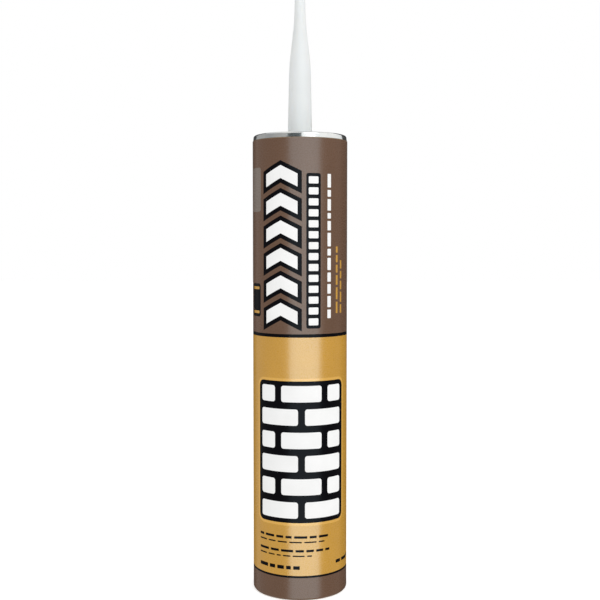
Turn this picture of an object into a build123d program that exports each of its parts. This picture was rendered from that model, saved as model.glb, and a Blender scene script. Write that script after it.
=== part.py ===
from build123d import *
import os
from math import atan, degrees, pi, tan

# Quart-size adhesive cartridge for a caulking gun.
# A paperboard tube is closed at the top by a crimped metal end, which holds a tapered nozzle,
# and at its open foot by a plunger that the gun's rod pushes up the bore.
# The origin is the centre of the foot, +Z points at the nozzle and the label faces -Y.
# All sizes are in millimetres.

# Body
BODY_OD = 64.0             # across the label
BODY_LENGTH = 308.4        # foot to the top of the metal rim

# Paperboard tube
TUBE_WALL = 1.3
FOOT_BEND = 0.7            # inside radius of the rolled foot
FOOT_LIP = 0.5             # flat beyond the roll
CRIMP_DEPTH = 0.45         # how far the crimp presses the tube's outside in
HEM_PRESS = 0.5            # how much thinner than two walls the turned-in top edge is pressed
HEM_LENGTH = 4.4

# Printed label
LABEL_PAPER = 0.15
LABEL_GLUE = 0.02
LABEL_GAP = 0.4            # bare tube between the label and the metal band
LABEL_TUCK = 50.0          # how far the label follows the rolled foot, in degrees
LAP_WIDTH = 8.0            # overlap of the label's two ends, at the back

# Metal end
METAL = 0.3
BAND_HEIGHT = 3.6          # outer leg of the crimp
BAND_LEAN = 0.45           # how far that leg leans in over its height
CRIMP_FIT = 0.06
COUNTERSINK_DEPTH = 5.6    # below the rim
COUNTERSINK_WIDTH = 1.6
PANEL_DEPTH = 4.4          # below the rim
RIM_FLAT = 0.65            # flat left on top of the rolled rim
CHUCK_BEVEL = 0.4          # bevel on the rim's inner edge
RING_INSET = 1.5           # panel between the countersink and the stiffening ring
RING_WIDTH = 1.2
RING_RISE = 0.8
BOSS_RISE = 2.6
BOSS_ROOM = 0.8            # boss top beyond the nozzle's flange

# Nozzle
NOZZLE_STEM = 46.6         # rim to the shoulder
NOZZLE_TAPER = 28.5        # shoulder to the neck
NOZZLE_TIP = 16.5          # neck to the closed tip
ROOT_R = 8.25
SHOULDER_R = 7.25
NECK_R = 4.0
TIP_R = 3.45
NOZZLE_WALL = 1.2
TIP_WALL = 1.5
TIP_ROUND = 1.2
PROFILE_BLEND = 150.0      # radius of the blends at shoulder and neck
FLANGE_R = 11.4
FLANGE_THICKNESS = 1.8
SNAP_DEPTH = 0.8           # snap bead beyond the stem
SNAP_LAND = 0.5
SEAT_FIT = 0.03

# Foil seal under the flange
SEAL_FOIL = 0.15
SEAL_INSET = 0.6           # bare edge of the flange

# Plunger
PLUNGER_INSET = 4.0        # foot to the plunger's skirt
PLUNGER_HEIGHT = 16.0
PLUNGER_FIT = 0.1
PLUNGER_SKIRT = 2.2
PLUNGER_PLATE = 1.8
LIP_BAND = 2.6             # height of each wiping lip
LIP_RELIEF = 0.9           # skirt set back between the lips
LIP_LEAD = 0.4             # bevel on the skirt's lower edge
FEATHER = 0.5              # thickness of the upper lip's edge
GROOVE_WIDTH = 1.5
GROOVE_DEPTH = 1.6
CUP_ROUND = 1.5
FLOOR_RING_R = 14.0
FLOOR_RING_WIDTH = 1.6
FLOOR_RING_HEIGHT = 0.8
GATE_R = 1.8
GATE_HEIGHT = 0.6

# Adhesive
PASTE_CLEARANCE = 0.05

# Radii that follow
label_r = BODY_OD / 2
tube_r = label_r - LABEL_PAPER - LABEL_GLUE
bore_r = tube_r - TUBE_WALL
foot_round = FOOT_BEND + TUBE_WALL
foot_lip_r = bore_r - FOOT_BEND - FOOT_LIP
crimp_r = tube_r - CRIMP_DEPTH
hem_r = crimp_r - (2 * TUBE_WALL - HEM_PRESS)
band_r = crimp_r + CRIMP_FIT + METAL
chuck_r = hem_r - CRIMP_FIT - METAL
band_slope = BAND_LEAN / BAND_HEIGHT
rim_reach = band_r - BAND_LEAN - RIM_FLAT - CHUCK_BEVEL - chuck_r
rim_round = rim_reach / tan(pi / 4 - atan(band_slope) / 2)
countersink_rise = COUNTERSINK_DEPTH - PANEL_DEPTH
countersink_r = chuck_r - COUNTERSINK_WIDTH
panel_r = countersink_r - countersink_rise
boss_r = FLANGE_R + BOSS_ROOM
nozzle_hole_r = ROOT_R + SEAT_FIT
lip_r = bore_r - PLUNGER_FIT
relief_r = lip_r - LIP_RELIEF
cup_r = relief_r - PLUNGER_SKIRT

# Heights that follow
band_z = BODY_LENGTH - BAND_HEIGHT
label_top_z = band_z - LABEL_GAP
hem_top_z = BODY_LENGTH - METAL - CRIMP_FIT
hem_edge_z = hem_top_z - HEM_LENGTH
countersink_z = BODY_LENGTH - COUNTERSINK_DEPTH
panel_z = BODY_LENGTH - PANEL_DEPTH
boss_z = panel_z + BOSS_RISE
flange_top_z = boss_z - METAL - SEAT_FIT
flange_z = flange_top_z - FLANGE_THICKNESS
seal_z = flange_z - SEAL_FOIL
shoulder_z = BODY_LENGTH + NOZZLE_STEM
neck_z = shoulder_z + NOZZLE_TAPER
tip_z = neck_z + NOZZLE_TIP
plunger_top_z = PLUNGER_INSET + PLUNGER_HEIGHT
cup_floor_z = plunger_top_z - PLUNGER_PLATE


def spin(section):
    """Turn a section, drawn as radius and height, about the cartridge's axis."""
    return revolve(Plane.XZ * section, Axis.Z)


def rounded(*corners):
    """Closed section through (radius, height, rounding) corners."""
    points = [(radius, height) for radius, height, _ in corners]
    return make_face(FilletPolyline(*points, radius=[corner[2] for corner in corners], close=True))


def pressed(thickness, *corners):
    """Section of sheet that lies to the left of a path through (radius, height, rounding) corners."""
    points = [(radius, height) for radius, height, _ in corners]
    path = FilletPolyline(*points, radius=[corner[2] for corner in corners[1:-1]])
    return make_face(offset(path, amount=thickness, side=Side.LEFT, kind=Kind.INTERSECTION))


def paper_tube():
    """Wound tube with its foot rolled inward and its top edge turned in for the crimp."""
    hem_bevel = rim_round - METAL - CRIMP_FIT
    bevel_z = hem_top_z - hem_bevel
    return spin(rounded(
        (foot_lip_r, 0, 0),
        (tube_r, 0, foot_round),
        (tube_r, label_top_z, 0),
        (crimp_r, band_z, 0),
        (crimp_r - band_slope * (bevel_z - band_z), bevel_z, 0),
        (crimp_r - BAND_LEAN - hem_bevel, hem_top_z, 0),
        (hem_r + CHUCK_BEVEL, hem_top_z, 0),
        (hem_r, hem_top_z - CHUCK_BEVEL, 0),
        (hem_r, hem_edge_z, 0),
        (bore_r, hem_edge_z, 0),
        (bore_r, TUBE_WALL, FOOT_BEND),
        (foot_lip_r, TUBE_WALL, 0),
    ))


def label_layer(stand_off):
    """Section of one layer of label paper that lies the given distance off the tube."""
    centre = (tube_r - foot_round, foot_round)
    inside = foot_round + stand_off
    tuck = CenterArc(centre, inside, -LABEL_TUCK, LABEL_TUCK)
    wall = Line(tuck @ 1, (tube_r + stand_off, label_top_z))
    return make_face(offset(Curve() + [tuck, wall], amount=LABEL_PAPER, side=Side.RIGHT))


def label_wrap():
    """Printed sleeve glued round the tube, with its lap at the back."""
    sleeve = spin(label_layer(LABEL_GLUE))
    lap_angle = degrees(LAP_WIDTH / label_r)
    lap_layer = Plane.XZ * label_layer(LABEL_GLUE + LABEL_PAPER)
    lap = revolve(lap_layer, Axis.Z, revolution_arc=lap_angle)
    return sleeve + Rot(Z=90 - lap_angle / 2) * lap


def metal_end():
    """Pressed end: crimped rim, countersink, stiffening ring and the boss that holds the nozzle."""
    ring_outer_r = panel_r - RING_INSET
    ring_inner_r = ring_outer_r - RING_WIDTH - 2 * RING_RISE
    ring_z = panel_z + RING_RISE
    return spin(pressed(
        METAL,
        (band_r, band_z, 0),
        (band_r - BAND_LEAN, BODY_LENGTH, rim_round),
        (chuck_r + CHUCK_BEVEL, BODY_LENGTH, 0),
        (chuck_r, BODY_LENGTH - CHUCK_BEVEL, 0),
        (chuck_r, countersink_z, 0),
        (countersink_r, countersink_z, 0),
        (panel_r, panel_z, 0),
        (ring_outer_r, panel_z, 0),
        (ring_outer_r - RING_RISE, ring_z, 0),
        (ring_inner_r + RING_RISE, ring_z, 0),
        (ring_inner_r, panel_z, 0),
        (boss_r + BOSS_RISE, panel_z, 0),
        (boss_r, boss_z, 0),
        (nozzle_hole_r, boss_z, 0),
    ))


def nozzle():
    """Closed tapered nozzle with its flange below the boss and its snap bead above."""
    snap_z = boss_z + SEAT_FIT
    snap_r = ROOT_R + SNAP_DEPTH
    return spin(rounded(
        (ROOT_R - NOZZLE_WALL, flange_z, 0),
        (FLANGE_R, flange_z, 0),
        (FLANGE_R, flange_top_z, 0),
        (ROOT_R, flange_top_z, 0),
        (ROOT_R, snap_z, 0),
        (snap_r, snap_z, 0),
        (snap_r, snap_z + SNAP_LAND, 0),
        (ROOT_R, snap_z + SNAP_LAND + SNAP_DEPTH, 0),
        (SHOULDER_R, shoulder_z, PROFILE_BLEND),
        (NECK_R, neck_z, PROFILE_BLEND),
        (TIP_R, tip_z, TIP_ROUND),
        (0, tip_z, 0),
        (0, tip_z - TIP_WALL, 0),
        (TIP_R - NOZZLE_WALL, tip_z - TIP_WALL, 0),
        (NECK_R - NOZZLE_WALL, neck_z, 0),
        (SHOULDER_R - NOZZLE_WALL, shoulder_z, 0),
    ))


def nozzle_seal():
    """Foil disc across the nozzle's mouth, bonded under the flange."""
    return Pos(Z=seal_z) * extrude(Circle(FLANGE_R - SEAL_INSET), SEAL_FOIL)


def adhesive_fill():
    """Paste between the plunger and the metal end, up to the foil under the flange."""
    floor_z = plunger_top_z + PASTE_CLEARANCE
    side_r = bore_r - PASTE_CLEARANCE
    edge_z = min(countersink_z - METAL, hem_edge_z) - PASTE_CLEARANCE
    under_panel_z = panel_z - METAL - PASTE_CLEARANCE
    under_seal_z = seal_z - PASTE_CLEARANCE
    step_r = countersink_r - METAL - PASTE_CLEARANCE
    return spin(rounded(
        (0, floor_z, 0),
        (side_r, floor_z, 0),
        (side_r, edge_z, 0),
        (step_r, edge_z, 0),
        (step_r - (under_panel_z - edge_z), under_panel_z, 0),
        (FLANGE_R, under_panel_z, 0),
        (FLANGE_R, under_seal_z, 0),
        (0, under_seal_z, 0),
    ))


def plunger():
    """Moulded cup with a wiping lip at each end and a flat floor for the gun's push plate."""
    groove_r = lip_r - FEATHER - GROOVE_WIDTH / 2
    cup = spin(rounded(
        (cup_r, PLUNGER_INSET, 0),
        (lip_r - LIP_LEAD, PLUNGER_INSET, 0),
        (lip_r, PLUNGER_INSET + LIP_LEAD, 0),
        (lip_r, PLUNGER_INSET + LIP_BAND, 0),
        (relief_r, PLUNGER_INSET + LIP_BAND + LIP_RELIEF, 0),
        (relief_r, plunger_top_z - LIP_BAND - LIP_RELIEF, 0),
        (lip_r, plunger_top_z - LIP_BAND, 0),
        (lip_r, plunger_top_z, 0),
        (lip_r - FEATHER, plunger_top_z, 0),
        (groove_r, plunger_top_z - GROOVE_DEPTH, 0),
        (lip_r - FEATHER - GROOVE_WIDTH, plunger_top_z, 0),
        (0, plunger_top_z, 0),
        (0, cup_floor_z, 0),
        (cup_r, cup_floor_z, CUP_ROUND),
    ))
    ring_z = cup_floor_z - FLOOR_RING_HEIGHT
    ring_profile = Circle(FLOOR_RING_R) - Circle(FLOOR_RING_R - FLOOR_RING_WIDTH)
    floor_ring = Pos(Z=ring_z) * extrude(ring_profile, FLOOR_RING_HEIGHT)
    gate = Pos(Z=cup_floor_z - GATE_HEIGHT) * extrude(Circle(GATE_R), GATE_HEIGHT)
    return cup + floor_ring + gate


PIECES = {
    "paper_tube": paper_tube,
    "label_wrap": label_wrap,
    "metal_end": metal_end,
    "nozzle": nozzle,
    "nozzle_seal": nozzle_seal,
    "adhesive_fill": adhesive_fill,
    "plunger": plunger,
}

os.makedirs("parts", exist_ok=True)
for name, make in PIECES.items():
    export_step(make(), f"parts/{name}.step")
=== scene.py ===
"""Looks of the adhesive cartridge: printed label, tinplate end, plastic nozzle and plunger, paste."""
import math
import random
from dataclasses import dataclass

import bpy
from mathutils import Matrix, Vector
from mathutils.geometry import delaunay_2d_cdt


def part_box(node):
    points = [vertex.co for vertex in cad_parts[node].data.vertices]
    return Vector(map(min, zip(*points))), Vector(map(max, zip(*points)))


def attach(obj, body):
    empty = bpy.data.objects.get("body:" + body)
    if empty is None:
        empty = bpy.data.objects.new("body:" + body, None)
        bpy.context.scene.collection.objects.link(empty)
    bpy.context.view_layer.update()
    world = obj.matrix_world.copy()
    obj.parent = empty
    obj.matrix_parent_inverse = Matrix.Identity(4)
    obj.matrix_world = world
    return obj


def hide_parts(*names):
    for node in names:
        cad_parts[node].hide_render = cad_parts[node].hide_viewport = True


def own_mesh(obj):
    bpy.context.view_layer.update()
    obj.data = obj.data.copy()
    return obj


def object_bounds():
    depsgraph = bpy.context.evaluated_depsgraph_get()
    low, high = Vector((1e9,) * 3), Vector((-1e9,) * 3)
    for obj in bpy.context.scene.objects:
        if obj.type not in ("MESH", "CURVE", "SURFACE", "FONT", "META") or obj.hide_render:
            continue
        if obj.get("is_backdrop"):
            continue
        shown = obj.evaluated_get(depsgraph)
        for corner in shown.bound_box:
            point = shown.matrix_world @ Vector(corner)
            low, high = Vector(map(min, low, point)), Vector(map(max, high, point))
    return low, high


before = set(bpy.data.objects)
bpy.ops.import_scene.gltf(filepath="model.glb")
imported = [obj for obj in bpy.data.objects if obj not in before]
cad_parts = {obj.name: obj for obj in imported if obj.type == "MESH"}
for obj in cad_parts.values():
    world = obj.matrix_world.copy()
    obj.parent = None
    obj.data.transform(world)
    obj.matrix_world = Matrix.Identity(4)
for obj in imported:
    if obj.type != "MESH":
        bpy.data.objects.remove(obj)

cad_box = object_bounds()

MM = 0.001

# Camera at the photograph's viewing angle, in metres and degrees, with its lens in millimetres
CAMERA_BACK = 0.6867
CAMERA_HEIGHT = 0.2339
CAMERA_PITCH = 3.03        # how far it looks down
CAMERA_LENS = 60.5
SENSOR_WIDTH = 36.0
LEVEL = 90.0               # turn of a camera that looks straight ahead

# Light, in metres and degrees, with azimuths counted right from the camera
SKY_STRENGTH = 0.83        # what the white surroundings light the object with
FLOOR_SIZE = 12.0
FLOOR_SHADE = 0.14
FLOOR_GLOW = 0.5           # what whitens the floor for the eye, over its own shaded white
KEY_AZIMUTH = 30.0
KEY_ELEVATION = 35.0
KEY_DISTANCE = 1.6
KEY_SIZE = 0.9
KEY_POWER = 5.4
CARD_DISTANCE = 1.6
CARD_BOTTOM = -1.6
CARD_TOP = 1.8
CARD_STEPS = 12
RIM_CARD_DISTANCE = 1.5    # for cards in front of the others, above what the label mirrors
RIM_CARD_BOTTOM = 0.62
FLAG_STRENGTH = 0.08       # of cards that keep a reflection dark

# Label, in millimetres
LABEL_PAPER = 0.15
LABEL_GLUE = 0.02
LABEL_COLUMNS = 144
FOOT_ROUND = 2.0           # roll of the tube's foot, which the label follows
LABEL_ROLL = FOOT_ROUND + LABEL_PAPER + LABEL_GLUE
LABEL_TUCK = 50.0          # how far it follows, in degrees
TUCK_ROWS = 6
LAP_WIDTH = 8.0
LAP_RAMP = 1.5             # stretch over which the upper end climbs onto the lower one
LAP_SLACK = 0.3            # between the end of that ramp and the lower end
RAMP_COLUMNS = 4
CUT_WHOLE_SHEET = 0        # kind of cut that keeps each triangle of the sheet
CUT_TOLERANCE = 1e-5

# Colour fields of the label, from the foot up: the height of each upper edge, and the ink below it
FIELDS = ((15.4, "brown"), (16.8, "dark"), (174.6, "gold"), (176.8, "dark"))
TOP_FIELD = "brown"

# Sizes read from the frame, in millimetres
label_low, label_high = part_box("label_wrap")
LABEL_R = -label_low.y / MM
LABEL_TOP = label_high.z / MM
HALF_TURN = math.pi * LABEL_R
RAMP_START = HALF_TURN - LAP_WIDTH / 2 - LAP_SLACK - LAP_RAMP

# Printed motifs, in millimetres round the label from its front line and up it
CORNERS = ((1, 1), (-1, 1), (-1, -1), (1, -1))
CORNER_STEPS = 4
DASH_SHORTEST = 3.0
DASH_LONGEST = 9.0
DASH_SPACE = 1.6
DASH_CORNER = 0.3
SEEDS_PER_MM = 10          # so that each line of dashes draws lengths of its own
CHEVRON_COLUMN = {"across": -13.0, "up": 193.1, "count": 6, "pitch": 17.9}
LADDER_ACROSS = 9.0
PANEL_ACROSS = -36.5
WALL_ACROSS = 1.0
WALL_MIDDLE = 99.0
LINES_LEFT = -31.0

# Wound paper of the tube, in metres
PLY_PITCH = 0.09           # climb of the strip in one turn
PLY_SEAM = 0.004           # stretch over which its edge fades
PLY_SHADE = 0.25

# Unevenness of the materials
NOISE_LOW = 0.3            # between these two lies most of a noise
NOISE_HIGH = 0.7
INK_MOTTLE = 0.03
PLASTIC_CLOUD = 0.02


# Colours

def linear(red, green, blue):
    """Linear colour of an sRGB one given from 0 to 255."""
    def channel(value):
        share = value / 255
        return share / 12.92 if share <= 0.04045 else ((share + 0.055) / 1.055) ** 2.4
    return channel(red), channel(green), channel(blue), 1.0


def shaded(colour, share):
    """Colour made darker or lighter by a share."""
    return tuple(min(1.0, channel * (1 + share)) for channel in colour[:3]) + (1.0,)


BLACK = (0.0, 0.0, 0.0, 1.0)
WHITE = (1.0, 1.0, 1.0, 1.0)
COOL_WHITE = (0.74, 0.92, 1.0, 1.0)
TIN_DULL = linear(200, 203, 203)
TIN_BRIGHT = linear(222, 222, 218)
BOARD_DARK = linear(150, 124, 96)
BOARD_PALE = linear(178, 152, 122)
PASTE_DARK = linear(186, 164, 128)
PASTE_PALE = linear(204, 184, 150)
FOIL_DULL = linear(206, 207, 211)
FOIL_BRIGHT = linear(220, 221, 223)
NOZZLE_WHITE = linear(238, 241, 239)
PLUNGER_WHITE = linear(226, 226, 222)


# Materials

def scaled(tree, value, low, high, start=0.0, end=1.0):
    """Value from start to end, spread from low to high."""
    node = tree.nodes.new("ShaderNodeMapRange")
    node.inputs["From Min"].default_value = start
    node.inputs["From Max"].default_value = end
    node.inputs["To Min"].default_value = low
    node.inputs["To Max"].default_value = high
    tree.links.new(value, node.inputs["Value"])
    return node.outputs["Result"]


class Surface:
    """Principled material with tone, roughness and relief from patterns in the piece's own space."""

    def __init__(self, name):
        self.material = bpy.data.materials.new(name)
        self.material.use_nodes = True
        self.tree = self.material.node_tree
        self.shader = self.tree.nodes["Principled BSDF"]
        self.coords = self.tree.nodes.new("ShaderNodeTexCoord").outputs["Object"]

    def set(self, socket, value):
        """Same number or colour all over the surface."""
        self.shader.inputs[socket].default_value = value

    def feed(self, socket, value):
        """Number or colour that another node gives."""
        self.tree.links.new(value, self.shader.inputs[socket])

    def noise(self, scale, detail=3.0, stretch=(1, 1, 1)):
        """Noise with features of about 1 / scale metres, finer by a factor along each axis."""
        mapping = self.tree.nodes.new("ShaderNodeMapping")
        mapping.inputs["Scale"].default_value = stretch
        self.tree.links.new(self.coords, mapping.inputs["Vector"])
        node = self.tree.nodes.new("ShaderNodeTexNoise")
        node.inputs["Scale"].default_value = scale
        node.inputs["Detail"].default_value = detail
        self.tree.links.new(mapping.outputs["Vector"], node.inputs["Vector"])
        return node.outputs["Fac"]

    def math(self, operation, *values):
        """Sum, product or the like of values from other nodes and plain numbers."""
        node = self.tree.nodes.new("ShaderNodeMath")
        node.operation = operation
        for socket, value in zip(node.inputs, values):
            if isinstance(value, bpy.types.NodeSocket):
                self.tree.links.new(value, socket)
            else:
                socket.default_value = value
        return node.outputs["Value"]

    def winding(self, pitch):
        """0 to 1 across the strip of a sheet wound round the axis, which climbs a pitch each turn."""
        parts = self.tree.nodes.new("ShaderNodeSeparateXYZ")
        self.tree.links.new(self.coords, parts.inputs["Vector"])
        angle = self.math("ARCTAN2", parts.outputs["Y"], parts.outputs["X"])
        share = self.math("DIVIDE", angle, math.tau)
        turns = self.math("MULTIPLY_ADD", parts.outputs["Z"], 1 / pitch, share)
        return self.math("FRACT", turns)

    def spread(self, value, low, high, start=NOISE_LOW, end=NOISE_HIGH):
        """Value from start to end, spread from low to high."""
        return scaled(self.tree, value, low, high, start, end)

    def tint(self, value, first, second):
        """Colour between first and second."""
        node = self.tree.nodes.new("ShaderNodeMix")
        node.data_type = "RGBA"
        node.inputs["A"].default_value = first
        node.inputs["B"].default_value = second
        self.tree.links.new(self.spread(value, low=0, high=1), node.inputs["Factor"])
        return node.outputs["Result"]

    def relief(self, height, depth, strength):
        """Bump of a depth in metres."""
        node = self.tree.nodes.new("ShaderNodeBump")
        node.inputs["Strength"].default_value = strength
        node.inputs["Distance"].default_value = depth
        self.tree.links.new(height, node.inputs["Height"])
        self.feed("Normal", node.outputs["Normal"])


def ink(name, colour, gloss):
    """Printing ink on varnished paper."""
    surface = Surface(name)
    mottle = surface.noise(scale=70, detail=4)
    fibre = surface.noise(scale=1600, detail=5)
    tone = surface.tint(mottle, shaded(colour, -INK_MOTTLE), shaded(colour, INK_MOTTLE))
    surface.feed("Base Color", tone)
    surface.feed("Roughness", surface.spread(fibre, low=0.24, high=0.32))
    surface.set("Specular IOR Level", gloss)
    surface.relief(fibre, depth=0.00003, strength=0.12)
    return surface.material


def tinplate():
    """Bright tinplate with handling smears and the fine lines of its rolling."""
    surface = Surface("bright_tinplate")
    smear = surface.noise(scale=90, detail=4)
    grain = surface.noise(scale=120, stretch=(40, 1, 40))
    surface.feed("Base Color", surface.tint(smear, TIN_DULL, TIN_BRIGHT))
    wear = surface.math("MULTIPLY", smear, grain)
    surface.feed("Roughness", surface.spread(wear, low=0.08, high=0.2, start=0.1, end=0.4))
    surface.set("Metallic", 1.0)
    surface.relief(grain, depth=0.00002, strength=0.1)
    return surface.material


def polyethylene(name, colour, haze):
    """Moulded translucent plastic with a faint orange-peel skin."""
    surface = Surface(name)
    cloud = surface.noise(scale=45)
    peel = surface.noise(scale=900)
    tone = surface.tint(cloud, shaded(colour, -PLASTIC_CLOUD), shaded(colour, PLASTIC_CLOUD))
    surface.feed("Base Color", tone)
    surface.feed("Roughness", surface.spread(peel, low=0.5, high=0.6))
    surface.set("Specular IOR Level", 0.3)
    surface.set("Subsurface Weight", haze)
    surface.set("Subsurface Radius", (1.0, 0.95, 0.85))
    surface.set("Subsurface Scale", 0.003)
    surface.relief(peel, depth=0.00005, strength=0.1)
    return surface.material


def paperboard():
    """Raw paper with fibres, wound in a strip whose edge shows as a helical seam."""
    surface = Surface("raw_paperboard")
    fibre = surface.noise(scale=700, detail=6)
    patch = surface.noise(scale=120)
    strip = surface.winding(PLY_PITCH)
    seam = surface.spread(strip, low=1, high=0, start=0, end=PLY_SEAM / PLY_PITCH)
    tone = surface.math("MULTIPLY_ADD", seam, -PLY_SHADE, patch)
    surface.feed("Base Color", surface.tint(tone, BOARD_DARK, BOARD_PALE))
    surface.set("Roughness", 0.9)
    surface.relief(surface.math("SUBTRACT", fibre, seam), depth=0.0001, strength=0.5)
    return surface.material


def paste():
    """Smooth tan adhesive."""
    surface = Surface("tan_paste")
    cloud = surface.noise(scale=60)
    surface.feed("Base Color", surface.tint(cloud, PASTE_DARK, PASTE_PALE))
    surface.set("Roughness", 0.5)
    surface.relief(cloud, depth=0.0006, strength=0.3)
    return surface.material


def foil():
    """Crinkled sealing foil."""
    surface = Surface("crinkled_foil")
    crinkle = surface.noise(scale=400)
    surface.feed("Base Color", surface.tint(crinkle, FOIL_DULL, FOIL_BRIGHT))
    surface.feed("Roughness", surface.spread(crinkle, low=0.2, high=0.4))
    surface.set("Metallic", 1.0)
    surface.relief(crinkle, depth=0.0002, strength=0.3)
    return surface.material


# Print

@dataclass
class Run:
    """Equal blocks one above the other."""
    ink: str
    across: float
    up: float              # middle of the lowest block
    width: float
    height: float
    count: int = 1
    pitch: float = 0.0
    corner: float = 0.6

    def outlines(self):
        for index in range(self.count):
            yield self.outline(self.up + index * self.pitch)

    def outline(self, middle):
        points = []
        for turn, (side, end) in enumerate(CORNERS):
            for step in range(CORNER_STEPS + 1):
                angle = math.pi / 2 * (turn + step / CORNER_STEPS)
                x = side * (self.width / 2 - self.corner) + self.corner * math.cos(angle)
                y = end * (self.height / 2 - self.corner) + self.corner * math.sin(angle)
                points.append((self.across + x, middle + y))
        return points


@dataclass
class Chevrons:
    """Equal chevrons one above the other, pointing up the label."""
    ink: str
    across: float
    up: float              # middle of the lowest chevron's point
    width: float
    thickness: float
    count: int
    pitch: float
    slope: float = 0.5

    def outlines(self):
        half_width, half_thickness = self.width / 2, self.thickness / 2
        drop = self.slope * half_width
        spine = [(-half_width, -drop), (0, 0), (half_width, -drop)]
        shape = [(x, y - half_thickness) for x, y in spine]
        shape += [(x, y + half_thickness) for x, y in reversed(spine)]
        for index in range(self.count):
            middle = self.up + index * self.pitch
            yield [(self.across + x, middle + y) for x, y in shape]


@dataclass
class Bricks:
    """Wall of bricks in running bond, with half bricks at the ends of every other course."""
    ink: str
    across: float
    up: float              # middle of the lowest course
    width: float
    height: float          # of one brick
    courses: int
    joint: float
    corner: float
    row_length: int = 2    # whole bricks in a course

    def outlines(self):
        start, end = self.across - self.width / 2, self.across + self.width / 2
        pitch = (self.width + self.joint) / self.row_length
        for course in range(self.courses):
            up = self.up + course * (self.height + self.joint)
            shift = pitch / 2 * (course % 2)
            for index in range(self.row_length + course % 2):
                left = start - shift + index * pitch
                right = min(end, left + pitch - self.joint)
                left = max(start, left)
                across, width = (left + right) / 2, right - left
                brick = Run(self.ink, across, up, width, self.height, corner=self.corner)
                yield from brick.outlines()


@dataclass
class Dashes:
    """A line of dashes of uneven length, along or up the label."""
    ink: str
    start: float
    end: float
    place: float           # middle of the line, measured the other way
    thickness: float
    upright: bool = False

    def outlines(self):
        draw = random.Random(round(self.place * SEEDS_PER_MM))
        head = self.start
        while head < self.end - DASH_SHORTEST:
            tail = min(self.end, head + draw.uniform(DASH_SHORTEST, DASH_LONGEST))
            middle, length = (head + tail) / 2, tail - head
            if self.upright:
                dash = Run(self.ink, self.place, middle, self.thickness, length, corner=DASH_CORNER)
            else:
                dash = Run(self.ink, middle, self.place, length, self.thickness, corner=DASH_CORNER)
            yield from dash.outlines()
            head = tail + DASH_SPACE


PRINT = (
    # Chevrons on the brown field
    Chevrons("dark", width=28.4, thickness=14.6, **CHEVRON_COLUMN),
    Chevrons("white", width=22.8, thickness=8.4, **CHEVRON_COLUMN),
    # Narrow ladder beside them
    Run("dark", LADDER_ACROSS, up=231.0, width=9.8, height=101.0, corner=1.4),
    Run("white", LADDER_ACROSS, up=184.9, width=6.6, height=4.6, count=14, pitch=7.09),
    # Fine lines at the right
    Dashes("white", start=187.0, end=285.0, place=20.5, thickness=2.8, upright=True),
    Dashes("gold", start=190.0, end=236.0, place=27.5, thickness=1.8, upright=True),
    Dashes("gold", start=190.0, end=226.0, place=32.0, thickness=1.8, upright=True),
    # Panels at the left
    Run("grey", PANEL_ACROSS, up=271.5, width=13.0, height=29.0, corner=2.0),
    Run("dark", PANEL_ACROSS, up=198.5, width=12.0, height=22.0, corner=2.0),
    Run("gold", PANEL_ACROSS, up=190.5, width=9.0, height=1.8, count=2, pitch=16.0),
    # Brick wall on the gold field
    Run("light_gold", WALL_ACROSS, WALL_MIDDLE, width=69.0, height=97.4, corner=6.0),
    Run("dark", WALL_ACROSS, WALL_MIDDLE, width=65.4, height=93.8, corner=4.2),
    Bricks("white", WALL_ACROSS, up=60.5, width=59.4, height=10.8, courses=6, joint=4.6, corner=1.6),
    # Fine lines below it
    Dashes("dark", LINES_LEFT, end=22.0, place=42.6, thickness=1.6),
    Dashes("dark", LINES_LEFT, end=20.0, place=39.2, thickness=0.9),
    Dashes("dark", LINES_LEFT, end=21.0, place=33.4, thickness=1.6),
    Dashes("dark", LINES_LEFT, end=8.0, place=30.0, thickness=0.9),
    Dashes("dark", LINES_LEFT, end=2.0, place=22.2, thickness=2.4),
    Dashes("dark", start=27.0, end=48.0, place=23.4, thickness=2.2),
)

INKS = {
    "paper": ink("label_paper_edge", linear(226, 220, 208), gloss=0.2),
    "brown": ink("brown_ink", linear(105, 77, 58), gloss=0.36),
    "gold": ink("gold_ink", linear(203, 150, 43), gloss=0.84),
    "light_gold": ink("light_gold_ink", linear(226, 172, 70), gloss=0.84),
    "dark": ink("dark_ink", linear(9, 8, 12), gloss=0.05),
    "white": ink("white_ink", linear(252, 252, 251), gloss=0.02),
    "grey": ink("grey_ink", linear(126, 113, 103), gloss=0.36),
}
INK_ORDER = list(INKS)


def field_ink(up):
    """Ink of the colour field at a height."""
    for top, field in FIELDS:
        if up <= top:
            return field
    return TOP_FIELD


# Label

def cut_label(left, right, low, high):
    """Cut the flat label along columns, rows and printed outlines: points, faces and the faces' inks."""
    points, edges, faces, face_inks = [], [], [], []

    def add_line(start, end):
        points.extend((Vector(start), Vector(end)))
        edges.append((len(points) - 2, len(points) - 1))

    columns = [left + (right - left) * column / LABEL_COLUMNS for column in range(LABEL_COLUMNS + 1)]
    columns += [RAMP_START + LAP_RAMP * column / RAMP_COLUMNS for column in range(RAMP_COLUMNS + 1)]
    for across in columns:
        add_line((across, low), (across, high))
    rows = [FOOT_ROUND + (low - FOOT_ROUND) * row / TUCK_ROWS for row in range(TUCK_ROWS + 1)]
    rows += [top for top, _ in FIELDS] + [high]
    for up in rows:
        add_line((left, up), (right, up))
    for motif in PRINT:
        for outline in motif.outlines():
            faces.append(list(range(len(points), len(points) + len(outline))))
            face_inks.append(motif.ink)
            points.extend(Vector(point) for point in outline)
    cut = delaunay_2d_cdt(points, edges, faces, CUT_WHOLE_SHEET, CUT_TOLERANCE)
    flat, _, triangles, _, _, owners = cut
    inks = []
    for triangle, owner in zip(triangles, owners):
        middle = sum(flat[index].y for index in triangle) / len(triangle)
        inks.append(face_inks[max(owner)] if owner else field_ink(middle))
    return flat, triangles, inks


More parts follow.
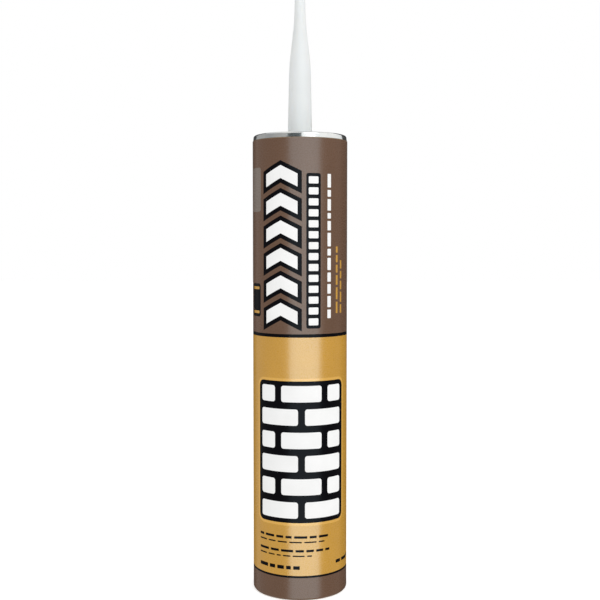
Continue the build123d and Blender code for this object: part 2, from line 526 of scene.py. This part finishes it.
def wrapped(place, depth):
    """Point and outward normal of the label at a place on its flat sheet, a depth below its face."""
    across, up = place
    # Smooth climb onto the lower end at the lap
    climb = min(1.0, max(0.0, (across - RAMP_START) / LAP_RAMP))
    lift = LABEL_PAPER * climb * climb * (3 - 2 * climb) - depth
    slope = LABEL_PAPER / LAP_RAMP * 6 * climb * (1 - climb)
    # Roll round the foot
    turn = max(0.0, (FOOT_ROUND - up) / LABEL_ROLL)
    out = LABEL_R - LABEL_ROLL + (LABEL_ROLL + lift) * math.cos(turn)
    height = max(up, FOOT_ROUND) - (LABEL_ROLL + lift) * math.sin(turn)
    # Turn round the tube
    angle = across / LABEL_R
    outward = Vector((math.sin(angle), -math.cos(angle), 0))
    onward = Vector((math.cos(angle), math.sin(angle), 0))
    point = outward * out + Vector((0, 0, height))
    normal = outward * math.cos(turn) - onward * slope - Vector((0, 0, math.sin(turn)))
    return point * MM, normal.normalized()


def sheet_faces(triangles, shift):
    """Faces of a thin sheet: its front, its back, whose points come a shift later, and its edge."""
    sides = {side for triangle in triangles for side in zip(triangle, triangle[1:] + triangle[:1])}
    rim = sorted(side for side in sides if side[::-1] not in sides)
    front = [list(triangle) for triangle in triangles]
    back = [[index + shift for index in reversed(triangle)] for triangle in triangles]
    edge = [[end, start, start + shift, end + shift] for start, end in rim]
    return front, back, edge


def add_object(name, data):
    """New object in the scene."""
    item = bpy.data.objects.new(name, data)
    bpy.context.collection.objects.link(item)
    return item


def make_label():
    """Printed label with its thickness and its lap at the back."""
    reach = HALF_TURN + LAP_WIDTH / 2
    low = FOOT_ROUND - math.radians(LABEL_TUCK) * LABEL_ROLL
    flat, triangles, inks = cut_label(-reach, reach, low, LABEL_TOP)
    face = [wrapped(place, 0.0) for place in flat]
    inside = [wrapped(place, LABEL_PAPER) for place in flat]
    front, back, edge = sheet_faces(triangles, len(flat))
    mesh = bpy.data.meshes.new("printed_label")
    mesh.from_pydata([point for point, _ in face + inside], [], front + back + edge)
    for name in INK_ORDER:
        mesh.materials.append(INKS[name])
    paints = inks + ["paper"] * (len(back) + len(edge))
    mesh.polygons.foreach_set("material_index", [INK_ORDER.index(paint) for paint in paints])
    mesh.shade_smooth()
    normals = [normal for _, normal in face] + [-normal for _, normal in inside]
    mesh.normals_split_custom_set_from_vertices(normals)
    label = add_object("printed_label", mesh)
    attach(label, "cartridge")
    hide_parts("label_wrap")


# Other pieces

def dress(mesh, material):
    """Give a mesh its one material."""
    mesh.materials.clear()
    mesh.materials.append(material)


def make_paste():
    """Column of paste in the tube, in a mesh of its own."""
    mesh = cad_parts["adhesive_fill"].data.copy()
    dress(mesh, paste())
    column = add_object("paste_column", mesh)
    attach(column, "cartridge")
    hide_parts("adhesive_fill")
    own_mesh(column)


def dress_nodes():
    """Give the other CAD nodes their materials."""
    materials = {
        "paper_tube": paperboard(),
        "metal_end": tinplate(),
        "nozzle": polyethylene("nozzle_polyethylene", NOZZLE_WHITE, haze=0.5),
        "plunger": polyethylene("plunger_polyethylene", PLUNGER_WHITE, haze=0.3),
        "nozzle_seal": foil(),
    }
    for node, material in materials.items():
        dress(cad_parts[node].data, material)


# Stage

def seen_directly(tree):
    """1 for what the eye sees, straight or in reflections, and 0 for light that falls on surfaces."""
    path = tree.nodes.new("ShaderNodeLightPath")
    value = path.outputs["Is Camera Ray"]
    for name in ("Is Glossy Ray", "Is Transmission Ray"):
        node = tree.nodes.new("ShaderNodeMath")
        node.operation = "MAXIMUM"
        tree.links.new(value, node.inputs[0])
        tree.links.new(path.outputs[name], node.inputs[1])
        value = node.outputs[0]
    return value


def make_floor():
    """White floor that keeps the object's shadow, clear from below and to light from below."""
    bpy.ops.mesh.primitive_plane_add(size=FLOOR_SIZE)
    floor = bpy.context.object
    floor.name = "floor"
    floor.visible_glossy = False
    floor.visible_diffuse = False
    surface = Surface("white_floor")
    glow = scaled(surface.tree, seen_directly(surface.tree), low=0.0, high=FLOOR_GLOW)
    surface.set("Base Color", shaded(WHITE, -FLOOR_SHADE))
    surface.set("Roughness", 0.9)
    surface.set("Specular IOR Level", 0.0)
    surface.set("Emission Color", WHITE)
    surface.feed("Emission Strength", glow)
    nodes, links = surface.tree.nodes, surface.tree.links
    one_sided = nodes.new("ShaderNodeMixShader")
    links.new(nodes.new("ShaderNodeNewGeometry").outputs["Backfacing"], one_sided.inputs["Fac"])
    links.new(surface.shader.outputs["BSDF"], one_sided.inputs[1])
    links.new(nodes.new("ShaderNodeBsdfTransparent").outputs["BSDF"], one_sided.inputs[2])
    links.new(one_sided.outputs["Shader"], nodes["Material Output"].inputs["Surface"])
    floor.data.materials.append(surface.material)
    floor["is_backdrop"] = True


def make_world():
    """White surroundings."""
    world = bpy.data.worlds.new("white_world")
    bpy.context.scene.world = world
    world.use_nodes = True
    tree = world.node_tree
    background = tree.nodes["Background"]
    background.inputs["Color"].default_value = WHITE
    strength = scaled(tree, seen_directly(tree), low=SKY_STRENGTH, high=1.0)
    tree.links.new(strength, background.inputs["Strength"])


def make_key():
    """Soft lamp at the right of the camera."""
    light = bpy.data.lights.new("key_lamp", "AREA")
    light.size = KEY_SIZE
    light.energy = KEY_POWER
    lamp = add_object("key_lamp", light)
    azimuth, elevation = math.radians(KEY_AZIMUTH), math.radians(KEY_ELEVATION)
    middle = sum(cad_box, Vector()) / 2
    way = Vector((math.sin(azimuth), -math.cos(azimuth), math.tan(elevation))).normalized()
    lamp.location = middle + way * KEY_DISTANCE
    lamp.rotation_euler = way.to_track_quat("Z", "Y").to_euler()


def make_card(name, start, end, strength, colour=WHITE, distance=CARD_DISTANCE, bottom=CARD_BOTTOM):
    """Upright curved card between two azimuths, which only reflections show."""
    points, faces = [], []
    for step in range(CARD_STEPS + 1):
        azimuth = math.radians(start + (end - start) * step / CARD_STEPS)
        x, y = distance * math.sin(azimuth), -distance * math.cos(azimuth)
        points += [(x, y, bottom), (x, y, CARD_TOP)]
    for step in range(CARD_STEPS):
        faces.append((2 * step, 2 * step + 1, 2 * step + 3, 2 * step + 2))
    mesh = bpy.data.meshes.new(name)
    mesh.from_pydata(points, [], faces)
    surface = Surface(name)
    surface.set("Base Color", BLACK)
    surface.set("Specular IOR Level", 0.0)
    surface.set("Emission Color", colour)
    surface.set("Emission Strength", strength)
    mesh.materials.append(surface.material)
    card = add_object(name, mesh)
    card.visible_camera = False
    card.visible_diffuse = False
    card.visible_transmission = False
    card.visible_volume_scatter = False
    card.visible_shadow = False
    card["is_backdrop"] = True


def make_cards():
    """Cards that shape the reflections in the label and, nearer and higher, in the metal rim."""
    rim = {"distance": RIM_CARD_DISTANCE, "bottom": RIM_CARD_BOTTOM}
    make_card("bright_card", start=-26, end=49, strength=4.6, colour=COOL_WHITE)
    make_card("right_card", start=49, end=115, strength=0.35)
    make_card("rim_hood", start=-31, end=4, strength=FLAG_STRENGTH, **rim)
    make_card("rim_card", start=4, end=127, strength=1.25, **rim)
    make_card("left_card", start=-135, end=-26, strength=0.5)
    make_card("right_flag", start=115, end=168, strength=FLAG_STRENGTH)
    make_card("left_flag", start=-168, end=-135, strength=FLAG_STRENGTH)


def make_camera():
    """Camera at the photograph's viewing angle."""
    data = bpy.data.cameras.new("camera")
    data.lens = CAMERA_LENS
    data.sensor_width = SENSOR_WIDTH
    camera = add_object("camera", data)
    camera.location = (0, -CAMERA_BACK, CAMERA_HEIGHT)
    camera.rotation_euler = (math.radians(LEVEL - CAMERA_PITCH), 0, 0)
    bpy.context.scene.camera = camera


make_label()
make_paste()
dress_nodes()
make_floor()
make_world()
make_key()
make_cards()
make_camera()
bpy.context.scene.view_settings.view_transform = "Standard"

boxes = {"cad": cad_box, "visual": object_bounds()}
{name: [list(low), list(high)] for name, (low, high) in boxes.items()}
